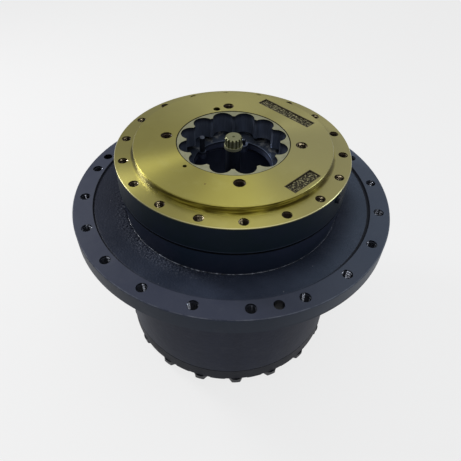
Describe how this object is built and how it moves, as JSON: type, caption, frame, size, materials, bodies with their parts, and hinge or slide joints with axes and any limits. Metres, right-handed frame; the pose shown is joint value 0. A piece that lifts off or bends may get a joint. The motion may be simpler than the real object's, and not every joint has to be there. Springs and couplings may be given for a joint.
{
  "type": "excavator final drive",
  "caption": "Planetary final drive of a crawler excavator: fixed spindle with yellow frame face and lobed motor socket, turning drum with sprocket flange.",
  "frame": {"origin": "on the drive axis, at the flat boss of the cover that the unit stands on", "axes": "+Z along the drive axis, from the cover to the frame and motor faces"},
  "size_m": [0.58, 0.58, 0.4592],
  "materials": {
    "yellow_coating": "thin yellow-olive rust-proof coating on machined faces, semi-gloss",
    "dark_paint": "dark blue-grey paint over a rough casting, satin",
    "bare_steel": "machined and oiled",
    "bright_steel": "ground",
    "gear_steel": "hardened and ground",
    "shaft_steel": "olive phosphated steel, bright on the edges",
    "bolt_steel": "dark coated steel",
    "cast_iron": "machined casting",
    "bronze": "bearing bronze",
    "rubber": "oil-proof rubber"
  },
  "bodies": {
    "fixed_side": {"spindle": "yellow_coating", "brake_slot_ring": "bare_steel", "guide_pins": "bright_steel", "skirt_plug": "dark_paint", "upper_inner_race": "bright_steel", "lower_inner_race": "bright_steel", "fixed_seal_ring": "cast_iron", "fixed_seal_cushion": "rubber", "preload_shim": "bright_steel", "output_carrier": "cast_iron", "carrier_bolts": "bolt_steel", "output_retainer": "gear_steel", "retainer_bolts": "bolt_steel", "output_thrust_washers": "bronze", "output_pin_1": "bright_steel", "output_pin_2": "bright_steel", "output_pin_3": "bright_steel", "output_pin_4": "bright_steel"},
    "turning_side": {"hub_housing": "dark_paint", "cover": "dark_paint", "cover_bolts": "bolt_steel", "drain_plug": "bolt_steel", "level_plug": "bolt_steel", "plug_seals": "bronze", "cover_o_ring": "rubber", "thrust_button": "bright_steel", "ring_gear": "gear_steel", "upper_outer_race": "bright_steel", "lower_outer_race": "bright_steel", "turning_seal_ring": "cast_iron", "turning_seal_cushion": "rubber"},
    "upper_roller_set": {"upper_rollers": "bright_steel"},
    "lower_roller_set": {"lower_rollers": "bright_steel"},
    "first_carrier_unit": {"first_carrier": "cast_iron", "output_sun": "gear_steel", "first_thrust_washers": "bronze", "first_retaining_rings": "bolt_steel", "first_pin_1": "bright_steel", "first_pin_2": "bright_steel", "first_pin_3": "bright_steel"},
    "input_unit": {"input_shaft": "shaft_steel"},
    "output_planet_unit_1": {"output_planet_1": "gear_steel", "output_bush_1": "bronze"},
    "output_planet_unit_2": {"output_planet_2": "gear_steel", "output_bush_2": "bronze"},
    "output_planet_unit_3": {"output_planet_3": "gear_steel", "output_bush_3": "bronze"},
    "output_planet_unit_4": {"output_planet_4": "gear_steel", "output_bush_4": "bronze"},
    "first_planet_unit_1": {"first_planet_1": "gear_steel", "first_bush_1": "bronze"},
    "first_planet_unit_2": {"first_planet_2": "gear_steel", "first_bush_2": "bronze"},
    "first_planet_unit_3": {"first_planet_3": "gear_steel", "first_bush_3": "bronze"}
  },
  "joints": [
    {"name": "housing_spin", "type": "hinge", "parent": "fixed_side", "child": "turning_side", "pos_m": [0, 0, 0.343], "axis": [0, 0, 1], "continuous": true},
    {"name": "upper_rollers_spin", "type": "hinge", "parent": "fixed_side", "child": "upper_roller_set", "pos_m": [0, 0, 0.35], "axis": [0, 0, 1], "continuous": true},
    {"name": "lower_rollers_spin", "type": "hinge", "parent": "fixed_side", "child": "lower_roller_set", "pos_m": [0, 0, 0.282], "axis": [0, 0, 1], "continuous": true},
    {"name": "first_carrier_spin", "type": "hinge", "parent": "fixed_side", "child": "first_carrier_unit", "pos_m": [0, 0, 0.12], "axis": [0, 0, 1], "continuous": true},
    {"name": "input_spin", "type": "hinge", "parent": "fixed_side", "child": "input_unit", "pos_m": [0, 0, 0.4592], "axis": [0, 0, 1], "continuous": true},
    {"name": "output_planet_spin_1", "type": "hinge", "parent": "fixed_side", "child": "output_planet_unit_1", "pos_m": [0.11, 0, 0.19], "axis": [0, 0, 1], "continuous": true},
    {"name": "output_planet_spin_2", "type": "hinge", "parent": "fixed_side", "child": "output_planet_unit_2", "pos_m": [0, 0.11, 0.19], "axis": [0, 0, 1], "continuous": true},
    {"name": "output_planet_spin_3", "type": "hinge", "parent": "fixed_side", "child": "output_planet_unit_3", "pos_m": [-0.11, 0, 0.19], "axis": [0, 0, 1], "continuous": true},
    {"name": "output_planet_spin_4", "type": "hinge", "parent": "fixed_side", "child": "output_planet_unit_4", "pos_m": [0, -0.11, 0.19], "axis": [0, 0, 1], "continuous": true},
    {"name": "first_planet_spin_1", "type": "hinge", "parent": "first_carrier_unit", "child": "first_planet_unit_1", "pos_m": [0.0975, 0, 0.08], "axis": [0, 0, 1], "continuous": true},
    {"name": "first_planet_spin_2", "type": "hinge", "parent": "first_carrier_unit", "child": "first_planet_unit_2", "pos_m": [-0.04875, 0.08444, 0.08], "axis": [0, 0, 1], "continuous": true},
    {"name": "first_planet_spin_3", "type": "hinge", "parent": "first_carrier_unit", "child": "first_planet_unit_3", "pos_m": [-0.04875, -0.08444, 0.08], "axis": [0, 0, 1], "continuous": true}
  ],
  "couplings": [
    {"joint": "upper_rollers_spin", "follows": "housing_spin", "ratio": 0.53332},
    {"joint": "lower_rollers_spin", "follows": "housing_spin", "ratio": 0.53332},
    {"joint": "first_carrier_spin", "follows": "housing_spin", "ratio": -3},
    {"joint": "input_spin", "follows": "housing_spin", "ratio": -25},
    {"joint": "output_planet_spin_1", "follows": "housing_spin", "ratio": 3},
    {"joint": "output_planet_spin_2", "follows": "housing_spin", "ratio": 3},
    {"joint": "output_planet_spin_3", "follows": "housing_spin", "ratio": 3},
    {"joint": "output_planet_spin_4", "follows": "housing_spin", "ratio": 3},
    {"joint": "first_planet_spin_1", "follows": "housing_spin", "ratio": 9.7778},
    {"joint": "first_planet_spin_2", "follows": "housing_spin", "ratio": 9.7778},
    {"joint": "first_planet_spin_3", "follows": "housing_spin", "ratio": 9.7778}
  ]
}
